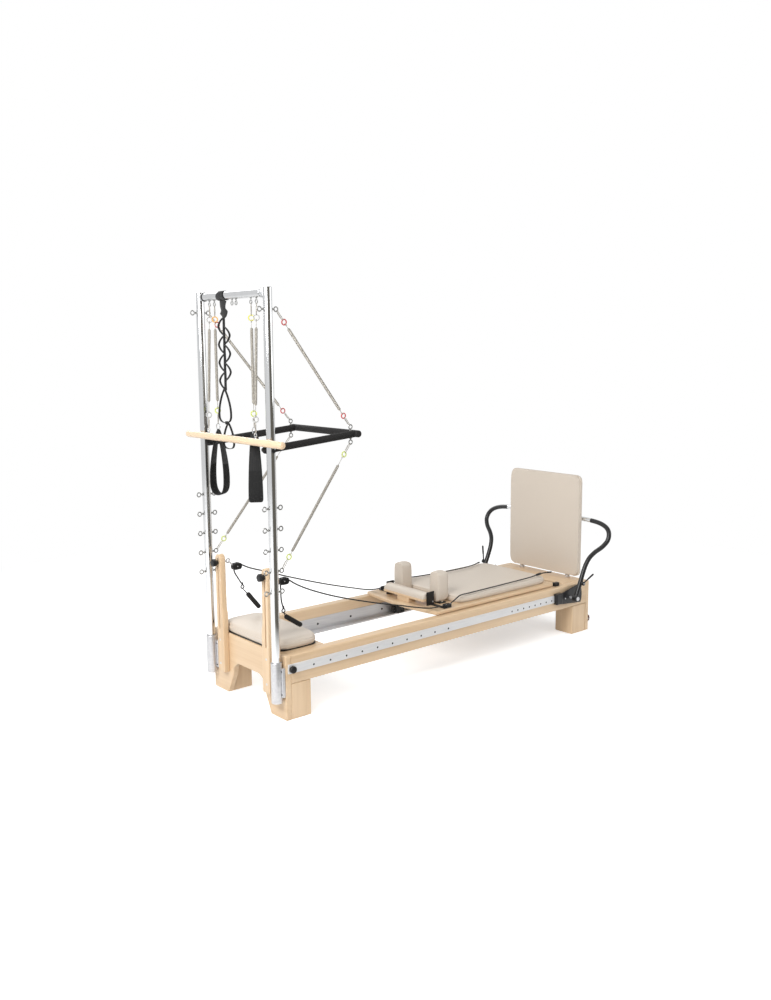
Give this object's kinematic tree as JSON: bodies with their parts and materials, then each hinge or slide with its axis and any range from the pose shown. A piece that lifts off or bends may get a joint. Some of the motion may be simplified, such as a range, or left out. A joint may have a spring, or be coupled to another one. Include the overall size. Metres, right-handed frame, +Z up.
{
  "type": "pilates reformer with tower",
  "caption": "Wooden pilates reformer with a sliding padded carriage, half-trapeze steel tower with springs and push bar, foot bar and jump board.",
  "frame": {"origin": "on the floor under the middle of the whole part's box", "axes": "+X from the tower end to the foot end, +Z up, +Y to the left of a person lying with the head at the tower"},
  "size_m": [2.42, 1.0436, 2.04],
  "materials": {
    "maple": "clear satin lacquer over pale maple",
    "dowel": "clear lacquer over a pale dowel",
    "upholstery": "smooth greige synthetic leather",
    "chrome": "polished",
    "steel": "satin",
    "spring_steel": "drawn wire",
    "track": "satin, anodised",
    "black_plastic": "matte",
    "black_frame": "satin black paint",
    "foam": "closed foam sleeve",
    "webbing": "woven webbing",
    "rope": "braided rope",
    "tyre": "matte"
  },
  "bodies": {
    "frame": {"head_frame": "maple", "foot_frame": "maple", "platform_cushion": "upholstery", "crossbar": "chrome", "roller_axle": "steel", "rail_right": "maple", "outer_track_right": "track", "runner_right": "steel", "post_right": "chrome", "sleeve_right": "track", "riser_right": "maple", "pulley_right": "black_plastic", "foot_bracket_right": "track", "hand_loop_right": "webbing", "rail_left": "maple", "outer_track_left": "track", "runner_left": "steel", "post_left": "chrome", "sleeve_left": "track", "riser_left": "maple", "pulley_left": "black_plastic", "foot_bracket_left": "track", "hand_loop_left": "webbing", "push_spring_upper_right": "spring_steel", "push_spring_upper_left": "spring_steel", "push_spring_lower_right": "spring_steel", "push_spring_lower_left": "spring_steel", "carriage_springs": "spring_steel"},
    "carriage": {"carriage_deck": "maple", "carriage_pad": "upholstery", "rope_cleat_right": "black_plastic", "rope_cleat_left": "black_plastic", "rope_right": "rope", "rope_left": "rope"},
    "headrest": {"headrest": "upholstery"},
    "foot_bar": {"foot_bar": "black_frame"},
    "jump_board": {"jump_board": "upholstery"},
    "push_bar": {"push_bar": "foam"},
    "roll_down_bar": {"roll_down_bar": "dowel", "roll_spring_right": "spring_steel", "roll_spring_left": "spring_steel"},
    "ladder_strap": {"ladder_strap": "webbing"},
    "wheel_front_right": {"wheel_front_right": "black_plastic"},
    "wheel_rear_right": {"wheel_rear_right": "black_plastic"},
    "wheel_front_left": {"wheel_front_left": "black_plastic"},
    "wheel_rear_left": {"wheel_rear_left": "black_plastic"},
    "shoulder_rest_right": {"shoulder_rest_right": "upholstery"},
    "shoulder_rest_left": {"shoulder_rest_left": "upholstery"},
    "foot_lever_right": {"foot_lever_right": "black_plastic"},
    "foot_lever_left": {"foot_lever_left": "black_plastic"},
    "leg_strap_right": {"leg_strap_right": "webbing", "strap_spring_right": "spring_steel"},
    "leg_strap_left": {"leg_strap_left": "webbing", "strap_spring_left": "spring_steel"},
    "clamp_knob_right": {"clamp_knob_right": "black_plastic"},
    "clamp_knob_left": {"clamp_knob_left": "black_plastic"},
    "sheave_right": {"sheave_right": "steel"},
    "sheave_left": {"sheave_left": "steel"},
    "roller_right": {"roller_right": "tyre"},
    "roller_left": {"roller_left": "tyre"}
  },
  "joints": [
    {"name": "carriage_slide", "type": "slide", "parent": "frame", "child": "carriage", "axis": [1, 0, 0], "range_m": [-0.7, 0], "deforming": ["carriage_springs", "rope_right", "rope_left"]},
    {"name": "wheel_front_right_spin", "type": "hinge", "parent": "carriage", "child": "wheel_front_right", "pos_m": [0.072, -0.258, 0.2143], "axis": [0, 1, 0], "continuous": true},
    {"name": "wheel_rear_right_spin", "type": "hinge", "parent": "carriage", "child": "wheel_rear_right", "pos_m": [0.732, -0.258, 0.2143], "axis": [0, 1, 0], "continuous": true},
    {"name": "wheel_front_left_spin", "type": "hinge", "parent": "carriage", "child": "wheel_front_left", "pos_m": [0.072, 0.258, 0.2143], "axis": [0, 1, 0], "continuous": true},
    {"name": "wheel_rear_left_spin", "type": "hinge", "parent": "carriage", "child": "wheel_rear_left", "pos_m": [0.732, 0.258, 0.2143], "axis": [0, 1, 0], "continuous": true},
    {"name": "shoulder_rest_right_lift", "type": "slide", "parent": "carriage", "child": "shoulder_rest_right", "axis": [0, 0, 1], "range_m": [0, 0.05]},
    {"name": "shoulder_rest_left_lift", "type": "slide", "parent": "carriage", "child": "shoulder_rest_left", "axis": [0, 0, 1], "range_m": [0, 0.05]},
    {"name": "headrest_tilt", "type": "hinge", "parent": "carriage", "child": "headrest", "pos_m": [-0.022, 0, 0.362], "axis": [0, 1, 0], "range_deg": [0, 30]},
    {"name": "foot_bar_fold", "type": "hinge", "parent": "frame", "child": "foot_bar", "pos_m": [0.956, 0, 0.25], "axis": [0, 1, 0], "range_deg": [0, 68]},
    {"name": "foot_lever_right_turn", "type": "hinge", "parent": "foot_bar", "child": "foot_lever_right", "pos_m": [0.9955, -0.4203, 0.3397], "axis": [0, 1, 0], "range_deg": [-70, 0]},
    {"name": "foot_lever_left_turn", "type": "hinge", "parent": "foot_bar", "child": "foot_lever_left", "pos_m": [0.9955, 0.4203, 0.3397], "axis": [0, 1, 0], "range_deg": [0, 70]},
    {"name": "jump_board_lift", "type": "slide", "parent": "frame", "child": "jump_board", "axis": [0, 0, 1], "range_m": [0, 0.08]},
    {"name": "push_bar_swing", "type": "hinge", "parent": "frame", "child": "push_bar", "pos_m": [-1.15, 0, 1.3], "axis": [0, 1, 0], "range_deg": [-60, 60], "stiffness_Nm_per_rad": 60, "springref_deg": -6.88, "deforming": ["push_spring_upper_right", "push_spring_upper_left", "push_spring_lower_right", "push_spring_lower_left"]},
    {"name": "roll_bar_swing", "type": "hinge", "parent": "frame", "child": "roll_down_bar", "pos_m": [-1.15, 0, 1.968], "axis": [0, 1, 0], "range_deg": [0, 55]},
    {"name": "leg_strap_right_swing", "type": "hinge", "parent": "frame", "child": "leg_strap_right", "pos_m": [-1.15, -0.164, 1.968], "axis": [0, 1, 0], "range_deg": [-30, 0]},
    {"name": "leg_strap_left_swing", "type": "hinge", "parent": "frame", "child": "leg_strap_left", "pos_m": [-1.15, 0.164, 1.968], "axis": [0, 1, 0], "range_deg": [-30, 0]},
    {"name": "ladder_strap_swing", "type": "hinge", "parent": "frame", "child": "ladder_strap", "pos_m": [-1.15, 0.082, 2.015], "axis": [0, 1, 0], "range_deg": [-30, 0]},
    {"name": "clamp_knob_right_turn", "type": "hinge", "parent": "frame", "child": "clamp_knob_right", "pos_m": [-1.158, -0.215, 0.69], "axis": [1, 0, 0], "continuous": true},
    {"name": "clamp_knob_left_turn", "type": "hinge", "parent": "frame", "child": "clamp_knob_left", "pos_m": [-1.158, 0.215, 0.69], "axis": [1, 0, 0], "continuous": true},
    {"name": "sheave_right_spin", "type": "hinge", "parent": "frame", "child": "sheave_right", "pos_m": [-1.04, -0.215, 0.654], "axis": [0, 1, 0], "continuous": true},
    {"name": "sheave_left_spin", "type": "hinge", "parent": "frame", "child": "sheave_left", "pos_m": [-1.04, 0.215, 0.654], "axis": [0, 1, 0], "continuous": true},
    {"name": "roller_right_spin", "type": "hinge", "parent": "frame", "child": "roller_right", "pos_m": [1.186, -0.3, 0.064], "axis": [0, 1, 0], "continuous": true},
    {"name": "roller_left_spin", "type": "hinge", "parent": "frame", "child": "roller_left", "pos_m": [1.186, 0.3, 0.064], "axis": [0, 1, 0], "continuous": true}
  ],
  "couplings": [
    {"joint": "wheel_front_right_spin", "follows": "carriage_slide", "rad_per_m": 38.462},
    {"joint": "wheel_rear_right_spin", "follows": "carriage_slide", "rad_per_m": 38.462},
    {"joint": "wheel_front_left_spin", "follows": "carriage_slide", "rad_per_m": 38.462},
    {"joint": "wheel_rear_left_spin", "follows": "carriage_slide", "rad_per_m": 38.462}
  ]
}
